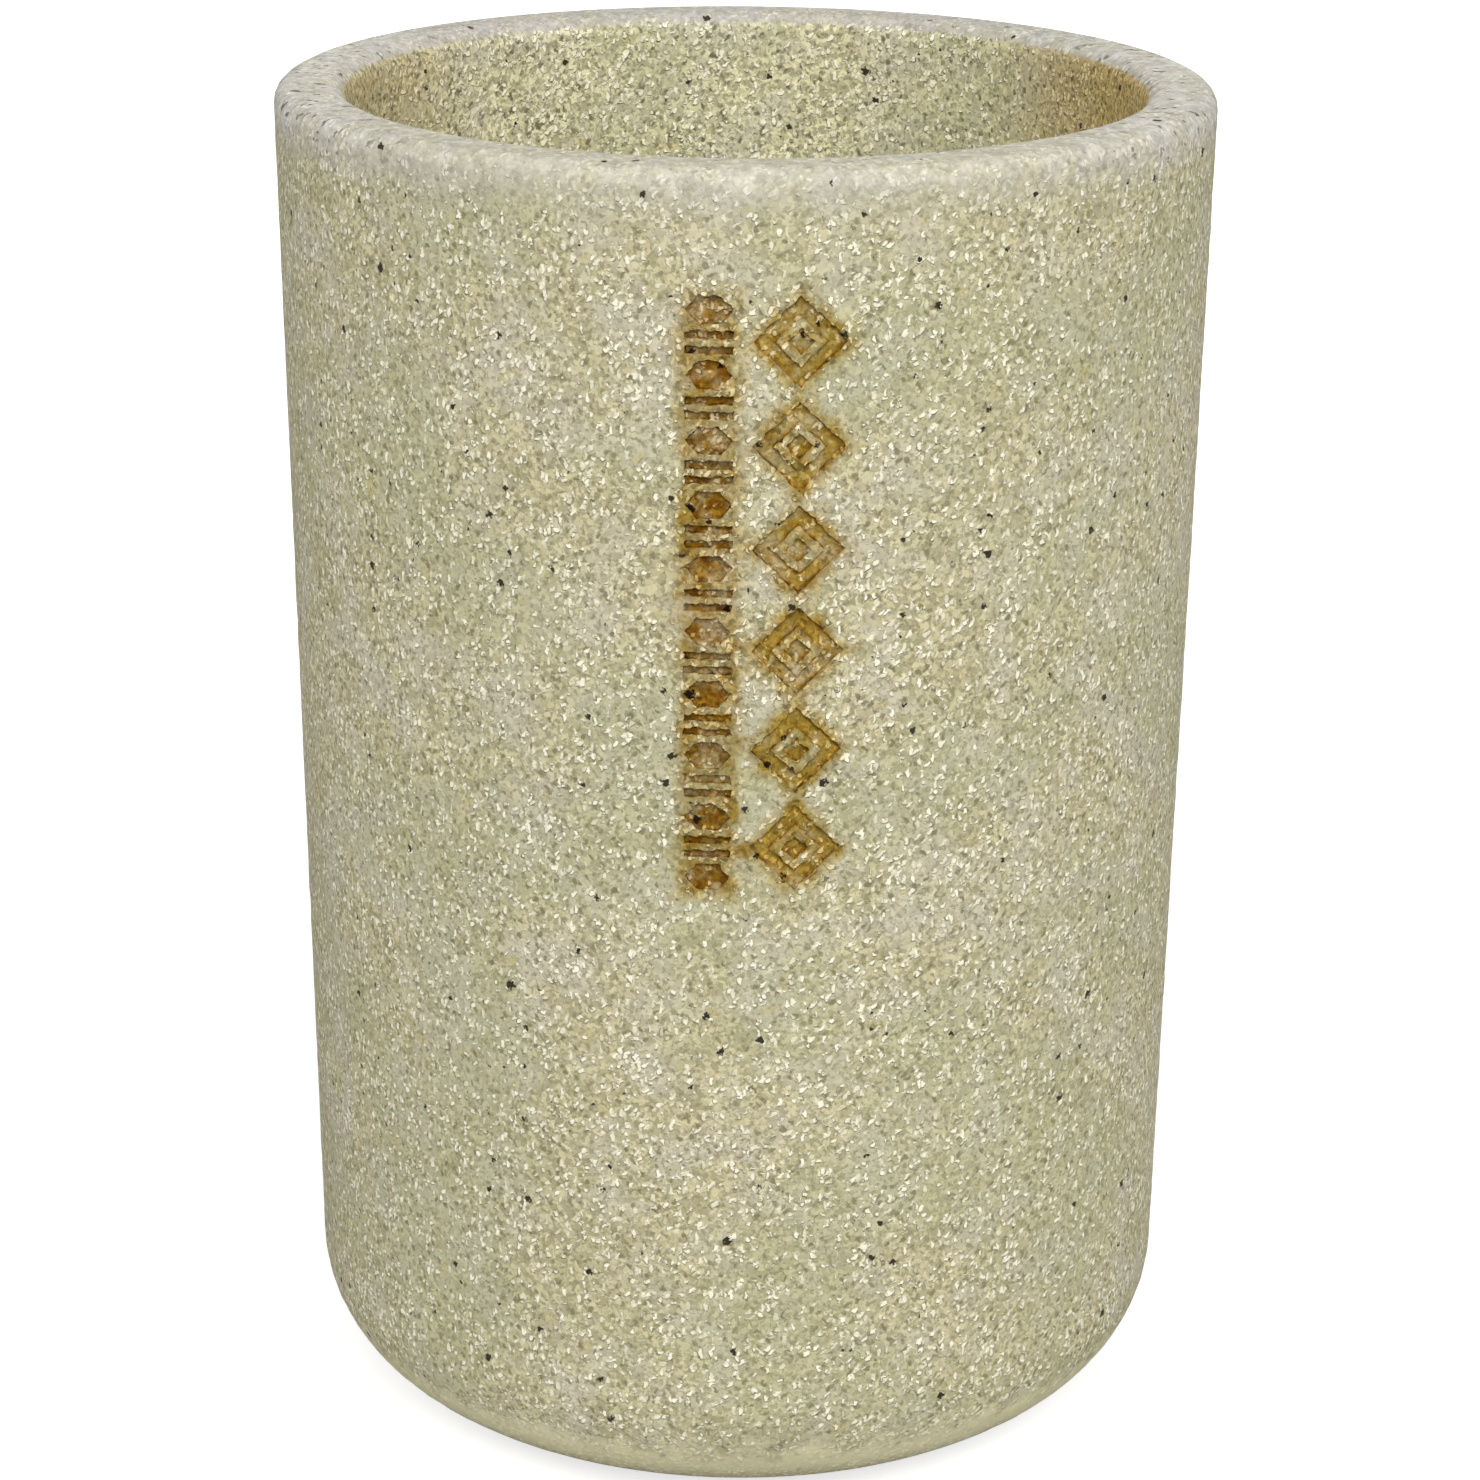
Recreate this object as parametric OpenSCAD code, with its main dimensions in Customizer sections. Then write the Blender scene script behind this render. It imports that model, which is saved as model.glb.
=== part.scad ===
// Bathroom tumbler: one thick-walled casting of stone-filled resin, slightly wider at the rim,
// with two engraved and stained ornament bands on the front and an anti-slip pad under the base.
// Millimetres. The origin is on the axis at the pad's underside, +Z is up, and the bands face -Y.

/* [Body] */
// Outer diameter at the rim
rim_d = 70; // [64:0.5:90]
// Outer diameter at the foot, before its edge is rounded
foot_d = 67.2; // [60:0.2:90]
// Height of the casting from its base to its rim
body_h = 103.1; // [80:0.1:130]
// Thickness of the wall
wall_t = 5.3; // [3.6:0.1:8]
// Thickness of the floor
floor_t = 7; // [3:0.5:14]

/* [Rounding] */
// Radius of the rounded foot
foot_r = 10; // [4:0.5:14]
// Radius of the rim's outer edge
rim_outer_r = 1.4; // [0.6:0.1:3]
// Radius of the rim's inner edge
rim_inner_r = 1.6; // [0.4:0.1:2]
// Radius of the corner between the bore and the floor
hollow_r = 8; // [3:0.5:14]

/* [Bands] */
// Depth of the engraving
mark_depth = 0.45; // [0.25:0.05:1.2]
// Thickness of the pigment film in the engraving
film_t = 0.12; // [0.05:0.01:0.2]
// Distance from the rim down to the top of both bands
band_drop = 8.5; // [5:0.5:30]
// Length of both bands
band_len = 43; // [30:0.2:60]

/* [Wide band] */
// Width of the wide band
wide_w = 6.4; // [5:0.1:12]
// Distance of its middle to the right of the front line
wide_x = 3.8; // [-4:0.1:16]
// Number of lozenges
lozenge_count = 6; // [4:1:8]
// Distance between the tips of two lozenges
lozenge_gap = 0.9; // [0.3:0.1:2]
// Width of a lozenge's frame
frame_w = 1.05; // [0.5:0.05:1.2]
// Width of the plain ring between the frame and the core
ring_w = 0.55; // [0.3:0.05:0.7]

/* [Narrow band] */
// Width of the narrow band
narrow_w = 3.3; // [2:0.1:6]
// Distance of its middle to the left of the front line
narrow_x = 2.3; // [1.5:0.1:14]
// Number of beads
bead_count = 10; // [5:1:12]
// Thickness of each of the two reels between beads
reel_t = 0.6; // [0.3:0.05:0.9]
// Distance between a bead and a reel, and between two reels
reel_gap = 0.45; // [0.25:0.05:0.7]

/* [Base pad] */
// Thickness of the pad
pad_t = 1.4; // [1:0.1:3]
// How far the pad stands out of the base
pad_proud = 0.6; // [0.3:0.1:0.9]
// Clearance around the pad in its recess
pad_play = 0.3; // [0.1:0.05:1]
// Flat border of the base around the recess
base_border = 1.2; // [0.5:0.1:6]
// Thickness of the adhesive film over the pad
adhesive_t = 0.2; // [0.1:0.05:0.4]
// How far the adhesive stops short of the pad's edge
adhesive_inset = 1; // [0.5:0.25:5]

/* [Hidden] */
$fn = 180;
// Straight steps in each rounded stretch of the outline
arc_steps = 14;
// Overrun of every cut past the surface that it opens
overrun = 1;
// Half-width of a bead's flat sides, as a share of its half-width
bead_flat_share = 0.45;

stone_colour = [0.74, 0.72, 0.60];
wide_stain_colour = [0.62, 0.52, 0.31];
narrow_stain_colour = [0.50, 0.39, 0.18];
adhesive_colour = [0.93, 0.92, 0.88];
pad_colour = [0.30, 0.30, 0.30];

// The wall leans out by this angle from foot to rim
draft = atan((rim_d - foot_d) / 2 / body_h);
recess_depth = pad_t + adhesive_t - pad_proud;
recess_r = wall_r(foot_r, foot_r) - base_border;
pad_r = recess_r - pad_play;
lozenge_h = (band_len - (lozenge_count - 1) * lozenge_gap) / lozenge_count;
reel_pair = 2 * reel_t + 3 * reel_gap;
bead_h = (band_len - (bead_count - 1) * reel_pair) / bead_count;

// Radius, at height z over the base, of a line that runs parallel to the wall and inset from its outside
function wall_r(z, inset = 0) = foot_d / 2 + z * tan(draft) - inset / cos(draft);

// Points of an arc, from one angle to another
function arc(centre, r, from, to) = [
    for (i = [0:arc_steps])
        let (a = from + (to - from) * i / arc_steps)
            centre + r * [cos(a), sin(a)]
];

// Centre of a round of radius r at height z, which touches a line inset from the wall's outside
function round_centre(z, inset) = [wall_r(z, inset), z];

// Half of the casting's section, from the axis outwards
module casting_section() {
    foot = arc(round_centre(foot_r, foot_r), foot_r, -90, -draft);
    rim_outer = arc(round_centre(body_h - rim_outer_r, rim_outer_r), rim_outer_r, -draft, 90);
    rim_inner = arc(round_centre(body_h - rim_inner_r, wall_t - rim_inner_r), rim_inner_r, 90, 180 - draft);
    hollow = arc(round_centre(floor_t + hollow_r, wall_t + hollow_r), hollow_r, -draft, -90);
    polygon(concat([[0, 0]], foot, rim_outer, rim_inner, hollow, [[0, floor_t]]));
}

// Solid cone parallel to the wall and inset from its outside
module wall_cone(inset)
    cylinder(h = body_h, r1 = wall_r(0, inset), r2 = wall_r(body_h, inset));

module lozenge(w, h)
    polygon([[w / 2, 0], [0, h / 2], [-w / 2, 0], [0, -h / 2]]);

// A lozenge frame round a plain ring and a solid core
module framed_lozenge(w, h) {
    // Distance from the middle to a side
    side_distance = w * h / 2 / norm([w, h]);
    inner_scale = 1 - frame_w / side_distance;
    core_scale = 1 - (frame_w + ring_w) / side_distance;
    difference() {
        lozenge(w, h);
        lozenge(w * inner_scale, h * inner_scale);
    }
    lozenge(w * core_scale, h * core_scale);
}

module bead(w, h) {
    flat = w / 2 * bead_flat_share;
    polygon([
        [w / 2, 0], [flat, h / 2], [-flat, h / 2],
        [-w / 2, 0], [-flat, -h / 2], [flat, -h / 2]
    ]);
}

// The wide band drawn flat, from its lower end up
module wide_band_marks()
    for (i = [0:lozenge_count - 1])
        translate([wide_x, lozenge_h / 2 + i * (lozenge_h + lozenge_gap)])
            framed_lozenge(wide_w, lozenge_h);

// The narrow band drawn flat, from its lower end up
module narrow_band_marks()
    for (i = [0:bead_count - 1])
        translate([-narrow_x, bead_h / 2 + i * (bead_h + reel_pair)]) {
            bead(narrow_w, bead_h);
            if (i < bead_count - 1)
                for (j = [0, 1])
                    translate([0, bead_h / 2 + reel_gap + reel_t / 2 + j * (reel_t + reel_gap)])
                        square([narrow_w, reel_t], center = true);
        }

// Flat marks carried from the axis out through the front of the wall
module through_front()
    translate([0, 0, body_h - band_drop - band_len])
        rotate([90, 0, 0])
            linear_extrude(height = max(rim_d, foot_d) / 2 + overrun)
                children();

// What the engraving takes out of the wall
module engraved()
    difference() {
        through_front() children();
        wall_cone(mark_depth);
    }

// Pigment film on the floor of the engraving
module pigment_film()
    difference() {
        intersection() {
            through_front() children();
            wall_cone(mark_depth - film_t);
        }
        wall_cone(mark_depth);
    }

module tumbler_body()
    color(stone_colour)
        translate([0, 0, pad_proud])
            difference() {
                rotate_extrude() casting_section();
                translate([0, 0, -overrun])
                    cylinder(h = recess_depth + overrun, r = recess_r);
                engraved() wide_band_marks();
                engraved() narrow_band_marks();
            }

module wide_band_stain()
    color(wide_stain_colour)
        translate([0, 0, pad_proud])
            pigment_film() wide_band_marks();

module narrow_band_stain()
    color(narrow_stain_colour)
        translate([0, 0, pad_proud])
            pigment_film() narrow_band_marks();

module pad_adhesive()
    color(adhesive_colour)
        translate([0, 0, pad_t])
            cylinder(h = adhesive_t, r = pad_r - adhesive_inset);

module base_pad()
    color(pad_colour)
        cylinder(h = pad_t, r = pad_r);

tumbler_body();
wide_band_stain();
narrow_band_stain();
pad_adhesive();
base_pad();
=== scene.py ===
"""A bathroom tumbler cast in stone-filled resin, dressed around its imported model.

Metres, with +Z up and the front at -Y.
"""

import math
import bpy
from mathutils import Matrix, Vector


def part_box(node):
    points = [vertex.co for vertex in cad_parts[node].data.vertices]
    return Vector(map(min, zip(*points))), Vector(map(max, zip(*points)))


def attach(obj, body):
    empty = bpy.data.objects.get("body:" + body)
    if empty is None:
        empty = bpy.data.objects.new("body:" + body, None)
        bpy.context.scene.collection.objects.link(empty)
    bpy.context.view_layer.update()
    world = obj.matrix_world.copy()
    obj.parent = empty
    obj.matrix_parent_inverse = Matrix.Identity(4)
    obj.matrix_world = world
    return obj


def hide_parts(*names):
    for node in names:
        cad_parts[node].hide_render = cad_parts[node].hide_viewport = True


bl_info = {
    "name": "Stone Resin Tumbler",
    "version": (1, 0, 0),
    "blender": (4, 5, 0),
    "location": "View3D > Sidebar > Tumbler",
    "description": "Models a cast stone-filled resin tumbler, its stained ornament bands and its base pad",
    "category": "Add Mesh",
}

import bmesh
import bpy
from mathutils import Matrix, Vector

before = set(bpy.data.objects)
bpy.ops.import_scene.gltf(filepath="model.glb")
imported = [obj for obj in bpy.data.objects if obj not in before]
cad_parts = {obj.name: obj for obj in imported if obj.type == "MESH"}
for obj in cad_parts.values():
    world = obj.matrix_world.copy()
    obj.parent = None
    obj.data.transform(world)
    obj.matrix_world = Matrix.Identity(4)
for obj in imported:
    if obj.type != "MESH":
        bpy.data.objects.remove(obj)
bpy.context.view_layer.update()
BODY_LOW, BODY_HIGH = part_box("tumbler_body")
WIDE_LOW, WIDE_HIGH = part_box("wide_band_stain")
NARROW_LOW, NARROW_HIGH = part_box("narrow_band_stain")
GLUE_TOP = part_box("pad_adhesive")[1].z
PAD_LOW, PAD_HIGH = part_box("base_pad")

MM = 0.001
# Two points closer than this are the same point of the model
NEAR = 0.01 * MM
# How far the floor lies under the pad, so that neither face shows through the other
FLOOR_DROP = 0.05 * MM
# Radius of the floor, wide enough to fill the view from any side
FLOOR_RADIUS = 6
# Faces that meet at less than this angle are shaded as one smooth surface
SMOOTH_UNDER = math.radians(42)
# What lies further forward than this is the front of the casting
FRONT_Y = -20 * MM
# How far in front of the rim flat marks are made, before they are laid on the wall
CLEAR_OF_WALL = 2 * MM
# How far each soft lamp stands from the place that it lights, how wide it is, and that place
LAMP_DISTANCE = 3
LAMP_SIZE = 1.6
LAMP_TARGET = (0, 0, 0.05)
# Each soft lamp's bearing and height in degrees, its share of the light, and whether gloss shows it
SOFTBOXES = {
    "Front softbox": (3, 40, 0.66, True),
    "Left softbox": (-62, 41, 0.305, True),
    "Right softbox": (62, 41, 0.385, True),
    "Back softbox": (180, 16, 0.3, False),
}


# Settings

def linear(display):
    """A display colour, each channel from 0 to 255, as the linear colour that shaders work in."""
    shares = [channel / 255 for channel in display]
    return [c / 12.92 if c <= 0.04045 else ((c + 0.055) / 1.055) ** 2.4 for c in shares]


def length(name, description, default):
    return bpy.props.FloatProperty(
        name=name, description=description, default=default, min=0.0, precision=5,
        unit='LENGTH', subtype='DISTANCE')


def share(name, description, default):
    return bpy.props.FloatProperty(
        name=name, description=description, default=default, min=0.0, max=1.0, subtype='FACTOR')


def count(name, description, default):
    return bpy.props.IntProperty(name=name, description=description, default=default, min=1)


def pixel(name, description, default):
    return bpy.props.FloatProperty(name=name, description=description, default=default, subtype='PIXEL')


def angle(name, description, degrees):
    return bpy.props.FloatProperty(
        name=name, description=description, default=math.radians(degrees), unit='ROTATION', subtype='ANGLE')


def colour(name, description, display):
    return bpy.props.FloatVectorProperty(
        name=name, description=description, default=linear(display), min=0.0, max=1.0,
        size=3, subtype='COLOR')


def pointer(name, description, kind):
    return bpy.props.PointerProperty(name=name, description=description, type=kind)


class CastingSizes(bpy.types.PropertyGroup):
    rim_radius: length("Rim Radius", "Outer radius at the rim", 35 * MM)
    foot_radius: length("Foot Radius", "Outer radius at the foot, before its edge is rounded", 33.6 * MM)
    base_z: length("Base Height", "Height of the casting's base over the ground", BODY_LOW.z)
    rim_z: length("Rim Height", "Height of the rim over the ground", BODY_HIGH.z)
    wall: length("Wall", "Thickness of the wall", 5.3 * MM)
    floor: length("Floor", "Thickness of the floor", 7 * MM)
    foot_round: length("Foot Round", "Radius of the rounded foot", 10 * MM)
    rim_outer_round: length("Rim Outer Round", "Radius of the rim's outer edge", 1.4 * MM)
    rim_inner_round: length("Rim Inner Round", "Radius of the rim's inner edge", 1.6 * MM)
    hollow_round: length("Hollow Round", "Radius of the corner between the bore and the floor", 8 * MM)
    pad_play: length("Pad Play", "Clearance around the pad in its recess", 0.3 * MM)
    sides: count("Sides", "Faces around the casting", 280)
    face: length("Face", "Height of a face on the outside", 0.78 * MM)
    bore_face: length("Bore Face", "Height of a face on the inside", 1.1 * MM)
    round_face: length("Round Face", "Height of a face on a rounded edge", 0.45 * MM)
    grit: length("Grit", "Depth of the casting's uneven skin", 0.12 * MM)
    grit_size: length("Grit Size", "Distance between two bumps of the uneven skin", 1.6 * MM)


class BandSizes(bpy.types.PropertyGroup):
    mark_depth: length("Engraving", "Depth of the engraved marks", 0.45 * MM)
    film: length("Film", "Thickness of the pigment in the marks", 0.12 * MM)
    lozenges: count("Lozenges", "Number of lozenges in the wide band", 6)
    lozenge_gap: length("Lozenge Gap", "Distance between two lozenges", 0.9 * MM)
    frame_width: length("Lozenge Frame", "Width of a lozenge's frame", 1.05 * MM)
    ring_width: length("Lozenge Ring", "Width of the plain ring inside the frame", 0.55 * MM)
    beads: count("Beads", "Number of beads in the narrow band", 10)
    reel: length("Reel", "Thickness of a reel between two beads", 0.6 * MM)
    reel_gap: length("Reel Gap", "Distance between a bead and a reel", 0.45 * MM)
    bead_flat: share("Bead Flat", "Flat part of a bead, as a share of its width", 0.45)
    margin: length("Margin", "Finely meshed stretch of the wall around the bands", 1.5 * MM)
    crumble: length("Crumble", "How far the edges of the marks wander", 0.42 * MM)
    crumble_size: length("Crumble Size", "Distance between two notches in the edges", 0.5 * MM)


class StoneFinish(bpy.types.PropertyGroup):
    grain: length("Grain", "Distance between the pale grains", 0.46 * MM)
    ground: colour("Ground", "Paler tone of the resin between the grains", (216, 207, 167))
    shade: colour("Shade", "Darker tone of the resin, and dark gaps", (126, 119, 84))
    pale: colour("Pale Grain", "Pale grains", (255, 249, 223))
    haze: colour("Haze", "Chalky patches", (208, 202, 190))
    # The rim's worn tones are rubbed wear with painted light: painted sheen at the sides, painted light at
    # the front, less at the back
    worn_and_lit_front: colour("Worn Front", "Rubbed rim at the front", (197, 193, 181))
    worn_and_lit_back: colour("Worn Back", "Rubbed rim at the back", (183, 180, 182))
    worn_and_lit_sides: colour("Worn Sides", "Rubbed rim at its sides", (206, 204, 202))
    # Painted light: the bore's paler tone brightens the inside as more light would
    bore: colour("Bore", "Paler tone of the resin in the bore", (242, 235, 192))
    # Painted shade: the bore's darker tone deepens the shade of its grains under grazing light
    bore_painted_shade: colour("Pit", "Darker tone of the resin in the bore", (102, 96, 68))
    # Painted light: the silt's paler tone also lights the foot's round, which turns down from the lamps
    silt_and_painted_light: colour("Silt", "Fine-grained skin round the foot", (236, 230, 188))
    ochre: colour("Ochre", "Warm tinted patches", (192, 178, 104))
    moss: colour("Moss", "Cool tinted patches", (176, 178, 140))
    # The fleck colour also paints the shade in the rim's pits
    fleck: colour("Fleck", "Black mineral flecks, and pits in the rim", (50, 43, 30))
    # Painted shade: the mouth tint darkens and warms the bore near its mouth's sides
    mouth: colour("Mouth", "Warm tint of the bore, near the mouth's sides", (240, 218, 176))
    rubbed_depth: length("Rubbed Depth", "How far down from its top the rim is rubbed", 4.5 * MM)
    silt_height: length("Silt Height", "How far up from the base its fine-grained skin reaches", 7.6 * MM)
    mouth_depth: length("Mouth Depth", "How far down the bore its tint is strong", 22 * MM)
    relief: length("Relief", "How far the grains stand over the gaps", 0.16 * MM)


class StainFinish(bpy.types.PropertyGroup):
    golden: colour("Golden Stain", "Tint of the wide band's pigment", (214, 182, 90))
    brown: colour("Brown Stain", "Tint of the narrow band's pigment", (186, 144, 38))
    halo: colour("Halo", "Tint of the stain that has crept out of the marks", (216, 190, 100))
    reach: length("Reach", "How far the stain creeps out over the surface", 1.3 * MM)
    creep: share("Creep", "Strength of the stain that has crept out", 0.95)
    pool: length("Pool", "How far in from a lozenge's outline the pigment has pooled", 0.35 * MM)
    relief: length("Relief", "How far the stained grains stand over the gaps", 0.12 * MM)


class PadFinish(bpy.types.PropertyGroup):
    foam: colour("Foam", "Closed-cell foam of the pad", (74, 73, 70))
    skin: colour("Foam Skin", "Rubbed skin of the foam", (104, 102, 97))
    # Painted shade: the pores' dark tone is the shade in the holes
    pore: colour("Pore", "Open pores of the foam", (32.73, 32.73, 31.41))
    milky: colour("Adhesive", "Milky double-sided film", (228, 224, 212))
    air: colour("Air", "Air trapped in the film", (243.45, 243.45, 241.05))
    edge_round: length("Pad Edge", "Rounding of the pad's cut edge", 0.25 * MM)
    pore_depth: length("Pore Depth", "Depth of the foam's open pores", 0.06 * MM)
    bubble_depth: length("Bubble Depth", "Relief of the air trapped in the film", 0.02 * MM)


class StudioSettings(bpy.types.PropertyGroup):
    distance: length("Distance", "From the camera to the middle of the tumbler", 310 * MM)
    elevation: angle("Elevation", "Camera's angle over the horizon", 19.35)
    roll: angle("Roll", "Camera's turn about its own axis", 0.45)
    lens: bpy.props.FloatProperty(name="Lens", description="Focal length", default=95.7, unit='CAMERA')
    picture: pixel("Picture", "Side of the square picture", 1480)
    axis_across: pixel("Axis Across", "Where the camera's axis meets the picture, from its left", 740.9)
    axis_down: pixel("Axis Down", "Where the camera's axis meets the picture, from its top", 730.5)
    paper: colour("Paper", "Floor that the tumbler stands on", (188, 187, 185))
    fibre: colour("Fibre", "Cloudy patches in the floor's paper", (187.52, 187.52, 187.52))


class TumblerSettings(bpy.types.PropertyGroup):
    casting: pointer("Casting", "Sizes of the casting", CastingSizes)
    bands: pointer("Bands", "Sizes of the ornament bands", BandSizes)
    stone: pointer("Stone", "Finish of the cast stone", StoneFinish)
    stain: pointer("Stain", "Finish of the ornament bands", StainFinish)
    pad: pointer("Pad", "Finish of the base pad", PadFinish)
    studio: pointer("Studio", "Camera and floor", StudioSettings)


# Sizes that follow from the settings

def draft(casting):
    """Angle by which the wall leans out from foot to rim."""
    return math.atan((casting.rim_radius - casting.foot_radius) / (casting.rim_z - casting.base_z))


def wall_radius(casting, z, inset=0.0):
    """Radius at height z of a line that runs parallel to the wall, inset from its outside."""
    lean = draft(casting)
    return casting.foot_radius + (z - casting.base_z) * math.tan(lean) - inset / math.cos(lean)


def band_height():
    return WIDE_HIGH.z - WIDE_LOW.z


def lozenge_height(bands):
    return (band_height() - (bands.lozenges - 1) * bands.lozenge_gap) / bands.lozenges


def reel_pair(bands):
    """Height between two beads, which holds two reels."""
    return 2 * bands.reel + 3 * bands.reel_gap


def bead_height(bands):
    return (band_height() - (bands.beads - 1) * reel_pair(bands)) / bands.beads


# Modelling helpers

def start_fresh():
    """Goes to object mode with nothing selected."""
    if bpy.context.mode != 'OBJECT':
        bpy.ops.object.mode_set(mode='OBJECT')
    bpy.ops.object.select_all(action='DESELECT')


def activate(piece):
    start_fresh()
    piece.select_set(True)
    bpy.context.view_layer.objects.active = piece


def settle():
    """Puts the active piece's place, turn and scale into its mesh."""
    bpy.ops.object.transform_apply(location=True, rotation=True, scale=True)


def edit():
    bpy.ops.object.mode_set(mode='EDIT')


def leave():
    bpy.ops.object.mode_set(mode='OBJECT')


def select_where(kind, test):
    """In edit mode, selects only the vertices, edges or faces that pass the test."""
    bpy.ops.mesh.select_mode(type=kind)
    bpy.ops.mesh.select_all(action='DESELECT')
    data = bpy.context.object.data
    mesh = bmesh.from_edit_mesh(data)
    mesh.normal_update()
    for element in {'VERT': mesh.verts, 'EDGE': mesh.edges, 'FACE': mesh.faces}[kind]:
        if test(element):
            element.select_set(True)
    bmesh.update_edit_mesh(data)


def axis_distance(vertex):
    return math.hypot(vertex.co.x, vertex.co.y)


def at_height(vertex, z):
    return abs(vertex.co.z - z) < NEAR


def on_ring(radius, z):
    """A test for the edges of a level circle."""
    return lambda edge: all(abs(axis_distance(v) - radius) < NEAR and at_height(v, z) for v in edge.verts)


def closing_face(z):
    """A test for the level face that closes the shape at a height."""
    return lambda face: all(at_height(v, z) for v in face.verts)


def long_upright(least, low, high):
    """A test for upright edges over a least length, whose distance from the axis is between two others."""
    def test(edge):
        first, second = edge.verts
        tall = abs(first.co.z - second.co.z) > least
        return tall and all(low < axis_distance(v) < high for v in edge.verts)
    return test


def scale_level(factor, z):
    bpy.ops.transform.resize(value=(factor, factor, 1), center_override=(0, 0, z))


def pull_up(distance):
    """Extrudes the selection upwards, or down where the distance is below zero."""
    bpy.ops.mesh.extrude_region_move(TRANSFORM_OT_translate={"value": (0, 0, distance)})


def cut_edges(test, cuts):
    """Cuts each chosen edge into equal parts, which makes rows of faces between them."""
    select_where('EDGE', test)
    bpy.ops.mesh.subdivide(number_cuts=cuts)


def round_ring(radius, z, rounding, corner, face):
    """Rounds the edge along a level circle, where two faces meet at the corner angle."""
    select_where('EDGE', on_ring(radius, z))
    arc = rounding * (math.pi - corner)
    bpy.ops.mesh.bevel(
        offset=rounding / math.tan(corner / 2), offset_type='OFFSET', segments=max(4, round(arc / face)),
        affect='EDGES', clamp_overlap=False)


def ring_the_face(z, rings):
    """Turns the level face that closes the shape at a height into rings of small faces."""
    def spoke(edge):
        return any(axis_distance(v) < NEAR for v in edge.verts) and all(at_height(v, z) for v in edge.verts)

    select_where('FACE', closing_face(z))
    bpy.ops.mesh.poke()
    cut_edges(spoke, rings - 1)


def modify(piece, kind, **settings):
    """Adds a modifier and applies it."""
    activate(piece)
    modifier = piece.modifiers.new(kind.title(), kind)
    for name, value in settings.items():
        setattr(modifier, name, value)
    bpy.ops.object.modifier_apply(modifier=modifier.name)


def weigh(piece, name, weight):
    """A vertex group in which a function of the place gives each vertex its weight."""
    group = piece.vertex_groups.new(name=name)
    for vertex in piece.data.vertices:
        group.add([vertex.index], weight(vertex.co), 'REPLACE')


def clouds(name, size, kind):
    """A cloudy texture that modifiers push vertices by, made the first time that it is asked for."""
    texture = bpy.data.textures.get(name) or bpy.data.textures.new(name, 'CLOUDS')
    texture.noise_scale = size
    texture.noise_depth = 2
    texture.cloud_type = kind
    return texture


def push(piece, group, texture, direction, strength):
    """Pushes the vertices of a weighted group by a cloudy texture."""
    modify(piece, 'DISPLACE', texture=texture, texture_coords='LOCAL', direction=direction, mid_level=0.5,
           strength=strength, vertex_group=group)


def smooth_step(value, start, end):
    t = min(1.0, max(0.0, (value - start) / (end - start)))
    return t * t * (3 - 2 * t)


def roughen(piece, tumbler):
    """Gives a cast surface its uneven skin, smoother at the rim, and lets the edges of the marks wander."""
    casting, bands = tumbler.casting, tumbler.bands

    def skin(place):
        rubbed = smooth_step(place.z, casting.rim_z - 6 * MM, casting.rim_z - 1 * MM)
        seated = smooth_step(place.z, GLUE_TOP + 2 * MM, GLUE_TOP)
        return (1 - 0.75 * rubbed) * (1 - seated)

    def marks(place):
        return 1.0 if in_window(place, bands, bands.margin / 2) else 0.0

    weigh(piece, "skin", skin)
    weigh(piece, "marks", marks)
    push(piece, "skin", clouds("Uneven skin", casting.grit_size, 'GRAYSCALE'), 'NORMAL', casting.grit)
    push(piece, "marks", clouds("Crumbled edges", bands.crumble_size, 'COLOR'), 'RGB_TO_XYZ', bands.crumble)


def finish_piece(piece, node, material):
    """Names, shades and rides the piece, and sets it in place of its CAD node."""
    activate(piece)
    bpy.ops.object.shade_smooth_by_angle(angle=SMOOTH_UNDER)
    piece.vertex_groups.clear()
    piece.name = piece.data.name = node + "_finish"
    piece.data.materials.clear()
    piece.data.materials.append(material)
    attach(piece, "root")
    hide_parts(node)


# Node helpers

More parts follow.
